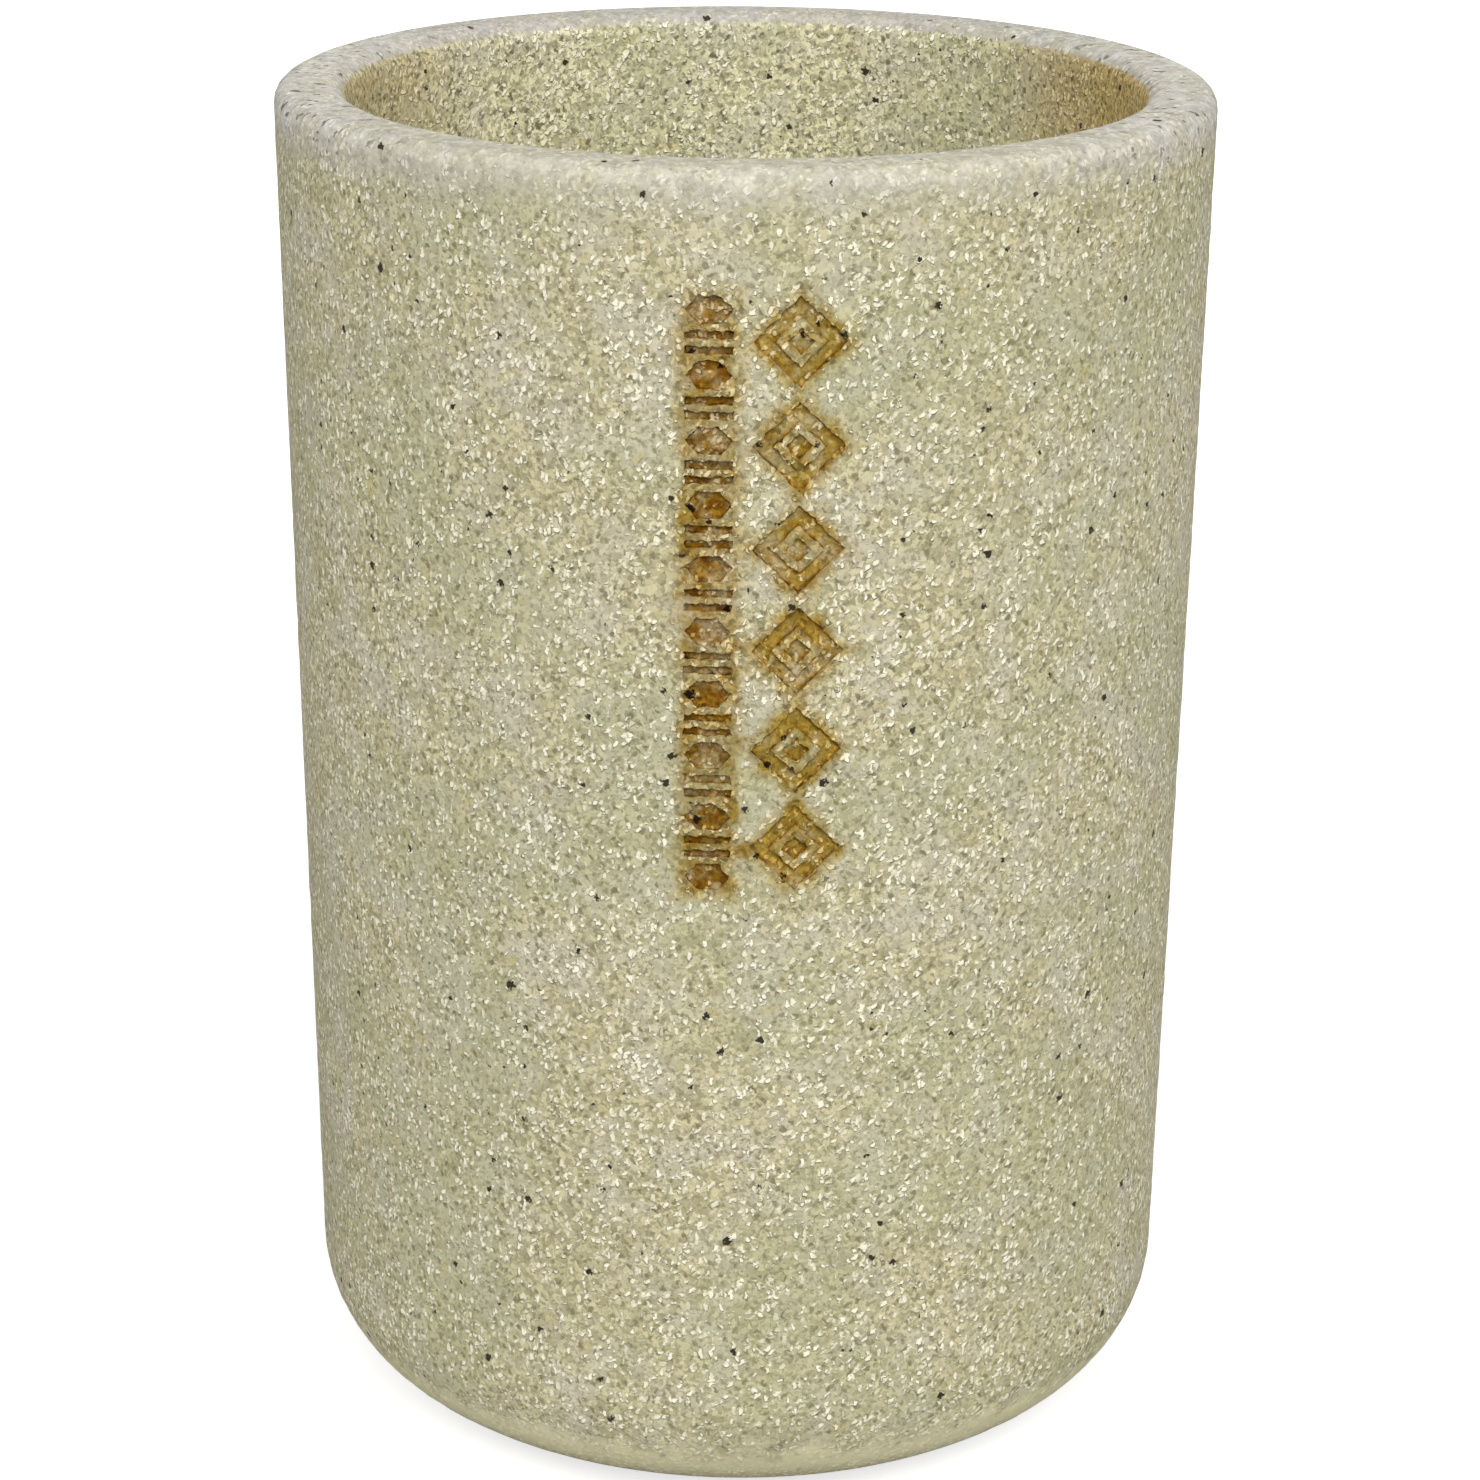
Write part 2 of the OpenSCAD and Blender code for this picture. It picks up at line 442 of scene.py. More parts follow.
class Graph:
    """A node tree that nodes are added to and linked in one go."""

    def __init__(self, tree):
        self.tree = tree

    def feed(self, node, inputs):
        """Links sockets to a node's inputs, and sets the inputs that are given plain values."""
        for key, value in inputs.items():
            if isinstance(value, bpy.types.NodeSocket):
                self.tree.links.new(value, node.inputs[key])
            else:
                node.inputs[key].default_value = value

    def add(self, kind, inputs, **settings):
        node = self.tree.nodes.new(kind)
        for name, value in settings.items():
            setattr(node, name, value)
        self.feed(node, inputs)
        return node.outputs

    def math(self, operation, *values, clamp=False):
        return self.add('ShaderNodeMath', dict(enumerate(values)), operation=operation, use_clamp=clamp)[0]

    def times(self, first, second):
        return self.math('MULTIPLY', first, second)

    def plus(self, first, second):
        return self.math('ADD', first, second)

    def minus(self, first, second):
        return self.math('SUBTRACT', first, second)

    def vector(self, operation, first, second):
        return self.add('ShaderNodeVectorMath', {0: first, 1: second}, operation=operation)[0]

    def scaled(self, vector, factor):
        return self.add('ShaderNodeVectorMath', {0: vector, 'Scale': factor}, operation='SCALE')[0]

    def split(self, vector):
        """The X, Y and Z of a vector."""
        return self.add('ShaderNodeSeparateXYZ', {0: vector})

    def channels(self, tone):
        """The red, green and blue of a colour."""
        return self.add('ShaderNodeSeparateColor', {0: tone})

    def mix(self, factor, first, second, blend='MIX'):
        """Inputs 6 and 7 and output 2 of a Mix node are its colours."""
        inputs = {0: factor, 6: first, 7: second}
        return self.add('ShaderNodeMix', inputs, data_type='RGBA', blend_type=blend)[2]

    def ramp(self, value, start, end, low=0.0, high=1.0):
        """A smooth step from low to high as the value goes from start to end."""
        inputs = {'Value': value, 1: start, 2: end, 3: low, 4: high}
        return self.add('ShaderNodeMapRange', inputs, interpolation_type='SMOOTHSTEP')[0]

    def noise(self, vector, scale, detail=2.0, roughness=0.5):
        inputs = {'Vector': vector, 'Scale': scale, 'Detail': detail, 'Roughness': roughness}
        return self.add('ShaderNodeTexNoise', inputs)

    def cells(self, vector, scale):
        return self.add('ShaderNodeTexVoronoi', {'Vector': vector, 'Scale': scale})


def rgba(values):
    return (*values, 1.0)


def open_group(name, inputs, outputs):
    """A new node group with named sockets, as its graph, the sockets it is given and the ones it fills."""
    tree = bpy.data.node_groups.new(name, 'ShaderNodeTree')
    for way, sockets in (('INPUT', inputs), ('OUTPUT', outputs)):
        for label, kind in sockets:
            tree.interface.new_socket(name=label, in_out=way, socket_type='NodeSocket' + kind)
    result = tree.nodes.new('NodeGroupOutput')
    return Graph(tree), tree.nodes.new('NodeGroupInput').outputs, result


# How each layer of dark gaps and of pale grains lies: its turn, and its shift away from the others
GAP_LAYERS = (((0.2, 0.9, 0.3), 51.0), ((1.3, -0.8, 0.5), 67.0))
GRAIN_LAYERS = (((0.3, -0.7, 0.2), 11.0), ((0.5, 1.5, 1.1), 23.0), ((0.9, 0.3, 1.4), 37.0))


def build_cast_stone(name):
    """Sand in resin: soft tones, pale grains and dark gaps that lie every way, tinted patches and flecks."""
    g, given, result = open_group(
        name,
        [("Position", 'Vector'), ("Grain", 'Float'), ("Ground", 'Color'), ("Shade", 'Color'),
         ("Pale", 'Color'), ("Haze", 'Color'), ("Ochre", 'Color'), ("Moss", 'Color'), ("Fleck", 'Color'),
         ("Worn", 'Color'), ("Rubbed", 'Float')],
        [("Colour", 'Color'), ("Height", 'Float')])
    cell = g.scaled(given["Position"], g.math('DIVIDE', 1.0, given["Grain"]))
    warp = g.vector('SUBTRACT', g.noise(cell, 1.3, 1.0)['Color'], (0.5, 0.5, 0.5))
    warped = g.vector('ADD', cell, g.scaled(warp, 0.9))

    # Slow changes over the surface, from chalky and crowded to bare and olive
    patch = g.noise(given["Position"], 240.0, 3.0, 0.6)[0]
    cool = g.ramp(g.noise(given["Position"], 70.0)[0], 0.42, 0.62)
    warm = g.ramp(g.noise(given["Position"], 480.0)[0], 0.62, 0.75)
    crowd = g.ramp(g.noise(given["Position"], 330.0)[0], 0.3, 0.7, 0.5, 1.5)

    def grains(turn, shift, long, density, edge, core):
        """Grains that lie one way: how far each stands out of its cell, and its random tone."""
        lie = {'Location': (shift, 2 * shift, 3 * shift), 'Rotation': turn, 'Scale': (long, 1.0, 1.0)}
        seen = g.add('ShaderNodeMapping', {'Vector': warped, **lie}, vector_type='TEXTURE')[0]
        cells = g.cells(seen, 1.0)
        tones = g.channels(cells['Color'])
        here = g.math('LESS_THAN', tones[0], g.times(crowd, density))
        return g.times(here, g.ramp(cells['Distance'], edge, core)), tones[1]

    mosaic = g.channels(g.cells(warped, 1.25)['Color'])
    ground = g.mix(g.ramp(mosaic[0], 0.0, 1.0, 0.4, 1.0), given["Shade"], given["Ground"])
    ground = g.mix(g.ramp(patch, 0.42, 0.66, 0.0, 0.5), ground, given["Haze"])
    ground = g.mix(g.times(cool, 0.36), ground, given["Moss"])
    stone = g.mix(g.times(warm, 0.45), ground, given["Ochre"])

    # Soft hollows between the crumbs
    crumbs = g.noise(warped, 1.5, 1.0)[0]
    stone = g.mix(g.ramp(crumbs, 0.52, 0.3, 0.0, 0.55), stone, given["Shade"])

    height = g.times(mosaic[1], 0.35)
    for turn, shift in GAP_LAYERS:
        gap, tone = grains(turn, shift, 2.0, 0.31, 0.46, 0.2)
        gap = g.times(gap, g.ramp(tone, 0.0, 1.0, 0.45, 0.9))
        stone = g.mix(gap, stone, given["Shade"])
        height = g.minus(height, g.times(gap, 0.5))
    for turn, shift in GRAIN_LAYERS:
        grain, tone = grains(turn, shift, 2.1, 0.30, 0.48, 0.25)
        grain = g.times(grain, g.ramp(tone, 0.0, 1.0, 0.45, 1.0))
        stone = g.mix(grain, stone, given["Pale"])
        height = g.math('MAXIMUM', height, grain)

    # Where the rim is rubbed, its worn tone, which carries painted light and sheen
    stone = g.mix(given["Rubbed"], stone, given["Worn"])

    # Flecks: most cells of the wide grid have none, and the rest have one of random size
    flecks = g.cells(g.scaled(warped, 0.23), 1.0)
    rare = g.channels(flecks['Color'])
    ragged = g.math('MULTIPLY_ADD', g.noise(cell, 2.2, 1.0)[0], 0.24, -0.12)
    size = g.plus(g.ramp(rare[1], 0.0, 1.0, 0.04, 0.14), g.ramp(rare[1], 0.84, 1.0, 0.0, 0.045))
    depth = g.minus(size, g.plus(flecks['Distance'], ragged))
    fleck = g.times(g.ramp(depth, 0.0, 0.045), g.math('GREATER_THAN', rare[0], 0.15))
    stone = g.mix(fleck, stone, given["Fleck"])
    g.feed(result, {"Colour": stone, "Height": height})


def build_lozenge_chain(name):
    """Distance from the wide band's strokes, in metres: out from their outlines, and in."""
    g, given, result = open_group(
        name,
        [("Position", 'Vector'), ("Middle", 'Float'), ("Low", 'Float'), ("Half Width", 'Float'),
         ("Half Height", 'Float'), ("Pitch", 'Float'), ("Last", 'Float'), ("Frame", 'Float'),
         ("Ring", 'Float')],
        [("Outside", 'Float'), ("Inside", 'Float')])
    at = g.split(given["Position"])
    half_width, half_height = given["Half Width"], given["Half Height"]
    across = g.math('ABSOLUTE', g.minus(at[0], given["Middle"]))
    up = g.minus(g.minus(at[2], given["Low"]), half_height)
    nearest = g.math('ROUND', g.math('DIVIDE', up, given["Pitch"]))
    nearest = g.math('MINIMUM', g.math('MAXIMUM', nearest, 0.0), given["Last"])
    along = g.math('ABSOLUTE', g.minus(up, g.times(nearest, given["Pitch"])))
    slope = g.plus(g.math('DIVIDE', across, half_width), g.math('DIVIDE', along, half_height))
    squares = g.plus(g.math('POWER', half_width, 2.0), g.math('POWER', half_height, 2.0))
    side = g.math('DIVIDE', g.times(half_width, half_height), g.math('SQRT', squares))
    out = g.times(g.minus(slope, 1.0), side)
    half_ring = g.times(given["Ring"], 0.5)
    from_ring = g.plus(g.plus(out, given["Frame"]), half_ring)
    plain = g.math('MAXIMUM', out, g.minus(half_ring, g.math('ABSOLUTE', from_ring)))
    g.feed(result, {"Outside": g.math('MAXIMUM', plain, 0.0),
                    "Inside": g.math('MAXIMUM', g.times(plain, -1.0), 0.0)})


def build_bead_column(name):
    """Distance from the narrow band as a whole, in metres."""
    g, given, result = open_group(
        name,
        [("Position", 'Vector'), ("Middle", 'Float'), ("Low", 'Float'), ("High", 'Float'),
         ("Half Width", 'Float')],
        [("Outside", 'Float')])
    at = g.split(given["Position"])
    across = g.math('ABSOLUTE', g.minus(at[0], given["Middle"]))
    beside = g.minus(across, given["Half Width"])
    below = g.minus(given["Low"], at[2])
    beyond = g.math('MAXIMUM', below, g.minus(at[2], given["High"]))
    g.feed(result, {"Outside": g.math('MAXIMUM', g.math('MAXIMUM', beside, beyond), 0.0)})


def build_wiped_stain(name):
    """Pigment wiped over stone: it tints, it takes unevenly, and the glassy grains take less of it."""
    g, given, result = open_group(
        name,
        [("Position", 'Vector'), ("Stone", 'Color'), ("Grains", 'Float'), ("Tint", 'Color'),
         ("Strength", 'Float')],
        [("Colour", 'Color')])
    uneven = g.ramp(g.noise(given["Position"], 900.0, 3.0, 0.6)[0], 0.3, 0.7, 0.6, 1.25)
    faded = g.times(uneven, g.ramp(g.noise(given["Position"], 150.0)[0], 0.38, 0.6, 0.75, 1.1))
    taken = g.times(faded, g.ramp(given["Grains"], 0.3, 1.0, 1.0, 0.7))
    strength = g.math('MULTIPLY', given["Strength"], taken, clamp=True)
    tinted = g.mix(1.0, given["Stone"], given["Tint"], 'MULTIPLY')
    g.feed(result, {"Colour": g.mix(strength, given["Stone"], tinted)})


GROUP_BUILDERS = {
    "Cast Stone": build_cast_stone,
    "Lozenge Chain": build_lozenge_chain,
    "Bead Column": build_bead_column,
    "Wiped Stain": build_wiped_stain,
}


def place_group(g, name, inputs):
    """A shared group's node in a material. The group is built the first time that it is asked for."""
    if name not in bpy.data.node_groups:
        GROUP_BUILDERS[name](name)
    node = g.tree.nodes.new('ShaderNodeGroup')
    node.node_tree = bpy.data.node_groups[name]
    g.feed(node, inputs)
    return node.outputs


# Materials

def open_material(name):
    """A new material: itself, its graph, its shader and the position that its patterns follow."""
    material = bpy.data.materials.new(name)
    material.use_nodes = True
    g = Graph(material.node_tree)
    return material, g, material.node_tree.nodes["Principled BSDF"], g.add('ShaderNodeTexCoord', {})['Object']


def stone_pattern(g, position, stone, **changes):
    """The cast stone in its plain colours, apart from the inputs that are given as changes."""
    tones = ("ground", "shade", "pale", "haze", "ochre", "moss", "fleck")
    plain = {tone.title(): rgba(getattr(stone, tone)) for tone in tones}
    return place_group(
        g, "Cast Stone", {"Position": position, "Grain": stone.grain, **plain, **changes})


def lozenge_distances(g, position, bands):
    return place_group(g, "Lozenge Chain", {
        "Position": position, "Middle": (WIDE_LOW.x + WIDE_HIGH.x) / 2, "Low": WIDE_LOW.z,
        "Half Width": (WIDE_HIGH.x - WIDE_LOW.x) / 2, "Half Height": lozenge_height(bands) / 2,
        "Pitch": lozenge_height(bands) + bands.lozenge_gap, "Last": bands.lozenges - 1,
        "Frame": bands.frame_width, "Ring": bands.ring_width})


def bead_distance(g, position):
    return place_group(g, "Bead Column", {
        "Position": position, "Middle": (NARROW_LOW.x + NARROW_HIGH.x) / 2, "Low": NARROW_LOW.z,
        "High": NARROW_HIGH.z, "Half Width": (NARROW_HIGH.x - NARROW_LOW.x) / 2})["Outside"]


def stained(g, position, pattern, surface, tint, strength):
    return place_group(g, "Wiped Stain", {
        "Position": position, "Stone": surface, "Grains": pattern["Height"], "Tint": rgba(tint),
        "Strength": strength})["Colour"]


def feed_shader(g, shader, surface, roughness, height, relief):
    """Feeds a shader a colour, a roughness and a relief whose full height is given."""
    bump = g.add('ShaderNodeBump', {'Height': height, 'Strength': 1.0, 'Distance': relief})[0]
    g.feed(shader, {'Base Color': surface, 'Roughness': roughness, 'Normal': bump})


def worn_and_lit_tone(g, position, at, aside, stone):
    """The mottled tone of the rubbed rim at its front, back and sides: real wear made paler, with painted
    light and a painted sheen that differ as the light falls on each side.
    """
    worn_and_lit = g.mix(g.ramp(at[1], -20 * MM, 20 * MM), rgba(stone.worn_and_lit_front), rgba(stone.worn_and_lit_back))
    worn_and_lit = g.mix(aside, worn_and_lit, rgba(stone.worn_and_lit_sides))
    mottle = g.ramp(g.noise(position, 900.0, 3.0, 0.7)[0], 0.32, 0.68, 0.72, 1.22)
    return g.scaled(worn_and_lit, mottle)


def paint_foot_silt_light_and_shade(g, position, at, surface, tumbler):
    """Lays fine-grained skin round the foot, which is paler also as painted light on the foot's downturned
    round, and gives back the surface and how much the skin covers.

    Its upper edge is uneven. It thins out towards the lowest edge, which is painted a little darker as shade
    where the foot meets the floor.
    """
    base, stone = tumbler.casting.base_z, tumbler.stone
    uneven = g.minus(g.noise(position, 420.0, 3.0, 0.6)[0], 0.5)
    up = g.math('MULTIPLY_ADD', uneven, 6 * MM, at[2])
    reached = g.ramp(up, base + stone.silt_height, base + 4.2 * MM, 0.0, 0.72)
    silted_and_lit = g.times(reached, g.ramp(at[2], base + 1.2 * MM, base + 4.2 * MM))
    surface = g.mix(silted_and_lit, surface, rgba(stone.silt_and_painted_light))
    # Painted shade: darker towards the lowest edge, where the foot meets the floor
    darker = g.ramp(at[2], base + 0.3 * MM, base + 2.4 * MM, 0.86, 1.0)
    return g.scaled(surface, darker), silted_and_lit


def shade_mouth_sides(g, at, in_bore, surface, tumbler):
    """Paints shade in the bore near the sides of its mouth, darker and warmer, the right more than the left.
    """
    rim, stone = tumbler.casting.rim_z, tumbler.stone
    left = g.ramp(at[0], -20 * MM, -29 * MM, 0.0, 0.48)
    beside = g.plus(g.ramp(at[0], 18 * MM, 29 * MM), left)
    high = g.ramp(at[2], rim - stone.mouth_depth, rim - 3 * MM, 0.2, 1.0)
    tinted = g.times(g.times(beside, high), in_bore)
    return g.mix(tinted, surface, rgba(stone.mouth), 'MULTIPLY')


def stain_front(g, position, at, deep, pattern, surface, tumbler):
    """Lets the pigment creep and seep out of the marks, and stains the walls of the engraving."""
    stain = tumbler.stain
    on_front = g.times(g.math('LESS_THAN', at[1], 0.0), g.math('LESS_THAN', deep, 1 * MM))
    cut = g.times(g.ramp(deep, 0.1 * MM, 0.25 * MM), on_front)
    wave = g.minus(g.noise(position, 650.0, 3.0, 0.6)[0], 0.5)
    wander = g.times(wave, 2 * stain.reach)
    for outside, tint in ((lozenge_distances(g, position, tumbler.bands)["Outside"], stain.golden),
                          (bead_distance(g, position), stain.brown)):
        crept = g.ramp(g.plus(outside, wander), stain.reach, -0.4 * MM, 0.0, stain.creep)
        surface = stained(g, position, pattern, surface, stain.halo, g.times(crept, on_front))
        seep = g.ramp(g.math('MULTIPLY_ADD', wander, 0.5, outside), 0.6 * MM, 0.0, 0.0, 0.25)
        surface = stained(g, position, pattern, surface, tint, g.times(seep, on_front))
        near = g.math('LESS_THAN', outside, 0.4 * MM)
        surface = stained(g, position, pattern, surface, tint, g.times(cut, near))
    return surface


def stone_material(tumbler):
    """Cast stone, rubbed pale at the rim, fine-grained at the foot, and stained around its marks, with
    painted light and sheen on the rim, and painted light and shade at the foot and in the bore.
    """
    casting, stone = tumbler.casting, tumbler.stone
    material, g, shader, position = open_material("Cast stone resin")
    at = g.split(position)

    # Depth under the plain wall, which tells the bore and the walls of the engraving
    level = g.vector('MULTIPLY', position, (1.0, 1.0, 0.0))
    radius = g.add('ShaderNodeVectorMath', {0: level}, operation='LENGTH')['Value']
    plain = g.math('MULTIPLY_ADD', at[2], math.tan(draft(casting)), wall_radius(casting, 0.0))
    deep = g.minus(plain, radius)
    in_bore = g.ramp(deep, casting.wall - 0.4 * MM, casting.wall - 0.1 * MM)

    # The rubbed rim, paler with painted light and sheen, and pitted at its sides
    rubbed = g.ramp(at[2], casting.rim_z - stone.rubbed_depth, casting.rim_z - 0.6 * MM)
    rubbed = g.times(rubbed, g.minus(1.0, in_bore))
    patchy = g.ramp(g.noise(position, 460.0, 3.0, 0.6)[0], 0.32, 0.68, 0.42, 0.75)
    aside = g.ramp(g.math('ABSOLUTE', at[0]), 18 * MM, 32 * MM)
    # In the bore, a paler tone as painted light and a darker tone as painted shade of its relief
    pattern = stone_pattern(
        g, position, stone, Ground=g.mix(in_bore, rgba(stone.ground), rgba(stone.bore)),
        Shade=g.mix(in_bore, rgba(stone.shade), rgba(stone.bore_painted_shade)),
        Rubbed=g.times(rubbed, patchy), Worn=worn_and_lit_tone(g, position, at, aside, stone))
    # Painted shade: dark pits in the rubbed rim's sides, in the fleck colour
    pits = g.noise(g.vector('MULTIPLY', position, (0.6, 1.0, 1.0)), 1100.0, 2.0, 0.6)[0]
    pit_shaded = g.times(g.ramp(pits, 0.61, 0.67, 0.0, 0.8), g.times(rubbed, aside))
    surface = g.mix(pit_shaded, pattern["Colour"], rgba(stone.fleck))

    # The foot's silt with painted light, and painted shade at its lowest edge
    surface, silted_and_lit = paint_foot_silt_light_and_shade(g, position, at, surface, tumbler)
    # Painted shade in the bore near the mouth's sides
    surface = shade_mouth_sides(g, at, in_bore, surface, tumbler)
    surface = stain_front(g, position, at, deep, pattern, surface, tumbler)
    roughness = g.ramp(pattern["Height"], 0.0, 1.0, 0.62, 0.42)
    smooth = g.math('MULTIPLY_ADD', rubbed, 0.6, silted_and_lit)
    height = g.times(pattern["Height"], g.minus(1.0, smooth))
    feed_shader(g, shader, surface, roughness, height, stone.relief)
    shader.inputs['Specular IOR Level'].default_value = 0.3
    return material


def finish_stain(g, shader, pattern, surface, stain):
    """Makes a stained surface duller than the bare stone."""
    roughness = g.ramp(pattern["Height"], 0.0, 1.0, 0.7, 0.55)
    feed_shader(g, shader, surface, roughness, pattern["Height"], stain.relief)
    shader.inputs['Specular IOR Level'].default_value = 0.15


def golden_stain_material(tumbler):
    """The wide band's pigment: the stone shows through, and the colour pools along the outlines."""
    stain = tumbler.stain
    material, g, shader, position = open_material("Golden stain")
    pattern = stone_pattern(g, position, tumbler.stone)
    inside = lozenge_distances(g, position, tumbler.bands)["Inside"]
    wiped = stained(g, position, pattern, pattern["Colour"], stain.golden, 1.0)
    rim = g.ramp(inside, stain.pool, 0.02 * MM, 0.0, 0.65)
    pooled = stained(g, position, pattern, wiped, stain.golden, rim)
    finish_stain(g, shader, pattern, pooled, stain)
    return material


def brown_stain_material(tumbler):
    """The narrow band's pigment, darker and patchy."""
    stain = tumbler.stain
    material, g, shader, position = open_material("Brown stain")
    pattern = stone_pattern(g, position, tumbler.stone)
    wiped = stained(g, position, pattern, pattern["Colour"], stain.brown, 1.0)
    patches = g.ramp(g.noise(position, 1500.0)[0], 0.42, 0.6, 0.0, 0.8)
    pooled = stained(g, position, pattern, wiped, stain.golden, patches)
    finish_stain(g, shader, pattern, pooled, stain)
    return material


def foam_material(pad):
    """Fine closed-cell foam with a rubbed skin, and open pores painted dark as shade in them."""
    material, g, shader, position = open_material("Pad foam")
    pores = g.cells(position, 2600.0)['Distance']
    mottle = g.noise(position, 500.0, 3.0)[0]
    skin = g.mix(g.ramp(mottle, 0.3, 0.7), rgba(pad.foam), rgba(pad.skin))
    # Painted shade in the pores
    pit_shaded = g.mix(g.ramp(pores, 0.35, 0.1, 0.0, 0.7), skin, rgba(pad.pore))
    feed_shader(g, shader, pit_shaded, g.ramp(mottle, 0.3, 0.7, 0.92, 0.75), pores, pad.pore_depth)
    return material


def adhesive_material(pad):
    """Milky film with trapped air."""
    material, g, shader, position = open_material("Adhesive film")
    air = g.ramp(g.noise(position, 350.0, 3.0, 0.6)[0], 0.45, 0.65)
    milky = g.mix(g.times(air, 0.5), rgba(pad.milky), rgba(pad.air))
    feed_shader(g, shader, milky, g.ramp(air, 0.0, 1.0, 0.35, 0.2), air, pad.bubble_depth)
    return material


# The casting

def in_window(place, bands, margin):
    """Whether a place lies on the stretch of the front that holds both bands, with a margin."""
    return (place.y < FRONT_Y
            and NARROW_LOW.x - margin < place.x < WIDE_HIGH.x + margin
            and WIDE_LOW.z - margin < place.z < WIDE_HIGH.z + margin)


def turn_blank(casting):
    """The casting's shell with rounded edges: a leaning wall, a bore and the pad's recess."""
    base, rim, lean = casting.base_z, casting.rim_z, draft(casting)
    floor = base + casting.floor
    mouth, bottom = (wall_radius(casting, z, casting.wall) for z in (rim, floor))
    recess = PAD_HIGH.x + casting.pad_play
    start_fresh()
    bpy.ops.mesh.primitive_cylinder_add(
        vertices=casting.sides, radius=casting.foot_radius, depth=rim - base, end_fill_type='NGON',
        location=(0, 0, (rim + base) / 2))
    settle()
    edit()
    select_where('FACE', closing_face(rim))
    scale_level(casting.rim_radius / casting.foot_radius, rim)
    bpy.ops.mesh.inset(thickness=casting.wall / math.cos(lean))
    pull_up(floor - rim)
    scale_level(bottom / mouth, floor)
    select_where('FACE', closing_face(base))
    bpy.ops.mesh.inset(thickness=casting.foot_radius - recess)
    pull_up(GLUE_TOP - base)

    obtuse, acute = math.pi / 2 + lean, math.pi / 2 - lean
    round_ring(casting.foot_radius, base, casting.foot_round, obtuse, casting.face)
    round_ring(casting.rim_radius, rim, casting.rim_outer_round, acute, casting.round_face)
    round_ring(mouth, rim, casting.rim_inner_round, obtuse, casting.round_face)
    round_ring(bottom, floor, casting.hollow_round, obtuse, casting.face)
    return bpy.context.object


def mesh_evenly(casting, bands):
    """Cuts the long faces of the blank into rows, more finely where the bands go."""
    far = 2 * casting.rim_radius
    middle_of_wall = casting.foot_radius - casting.wall / 2
    least = (casting.rim_z - casting.base_z) / 2
    rows = (casting.rim_z - casting.base_z - casting.foot_round - casting.rim_outer_round) / casting.face
    cut_edges(long_upright(least, middle_of_wall, far), round(rows) - 1)
    rows = (casting.rim_z - casting.base_z - casting.floor - casting.hollow_round) / casting.bore_face
    cut_edges(long_upright(least, 0, middle_of_wall), round(rows) - 1)
    ring_the_face(casting.base_z + casting.floor, rings=16)
    ring_the_face(GLUE_TOP, rings=6)
    select_where('FACE', lambda face: in_window(face.calc_center_median(), bands, bands.margin))
    bpy.ops.mesh.subdivide(number_cuts=2)
    leave()


def lay_on_wall(flat, casting, inset):
    """Lays flat marks that stand in front of the tumbler on a cone inset from the wall."""
    start_fresh()
    bpy.ops.mesh.primitive_cone_add(
        vertices=720, radius1=wall_radius(casting, casting.base_z, inset),
        radius2=wall_radius(casting, casting.rim_z, inset), depth=casting.rim_z - casting.base_z,
        location=(0, 0, (casting.rim_z + casting.base_z) / 2))
    cone = bpy.context.object
    modify(flat, 'SHRINKWRAP', target=cone, wrap_method='PROJECT', use_project_y=True,
           use_negative_direction=True, use_positive_direction=True)
    bpy.data.objects.remove(cone)


def flat_plate(casting, x, z, width, height):
    """A flat face in front of the wall, in edit mode."""
    start_fresh()
    bpy.ops.mesh.primitive_plane_add(
        size=1, location=(x, -casting.rim_radius - CLEAR_OF_WALL, z), rotation=(math.pi / 2, 0, 0))
    plate = bpy.context.object
    plate.scale = (width, height, 1)
    settle()
    edit()
    return plate


def cut_small(cuts):
    """Cuts every face of the piece in edit mode, so that it can follow the wall."""
    bpy.ops.mesh.select_all(action='SELECT')
    bpy.ops.mesh.subdivide(number_cuts=cuts)
    leave()


def repeat_up(piece, times, pitch):
    modify(piece, 'ARRAY', count=times, use_relative_offset=False, use_constant_offset=True,
           constant_offset_displace=(0, 0, pitch))


def flat_lozenges(casting, bands):
    """The wide band's lozenges, each a frame round a plain ring and a solid core."""
    half_width, half_height = (WIDE_HIGH.x - WIDE_LOW.x) / 2, lozenge_height(bands) / 2
    side = half_width * half_height / math.hypot(half_width, half_height)
    middle = Vector((
        (WIDE_LOW.x + WIDE_HIGH.x) / 2, -casting.rim_radius - CLEAR_OF_WALL, WIDE_LOW.z + half_height))
    start_fresh()
    bpy.ops.mesh.primitive_circle_add(
        vertices=4, radius=1, fill_type='NGON', location=middle, rotation=(math.pi / 2, 0, 0))
    lozenge = bpy.context.object
    lozenge.scale = (half_width, half_height, 1)
    settle()
    edit()
    bpy.ops.mesh.select_all(action='SELECT')
    bpy.ops.mesh.inset(thickness=bands.frame_width)
    bpy.ops.mesh.inset(thickness=bands.ring_width)

    def in_plain_ring(face):
        away = face.calc_center_median() - middle
        reach = (abs(away.x) / half_width + abs(away.z) / half_height) * side
        return side - bands.frame_width - bands.ring_width < reach < side - bands.frame_width

    select_where('FACE', in_plain_ring)
    bpy.ops.mesh.delete(type='FACE')
    cut_small(7)
    repeat_up(lozenge, bands.lozenges, lozenge_height(bands) + bands.lozenge_gap)
    return lozenge


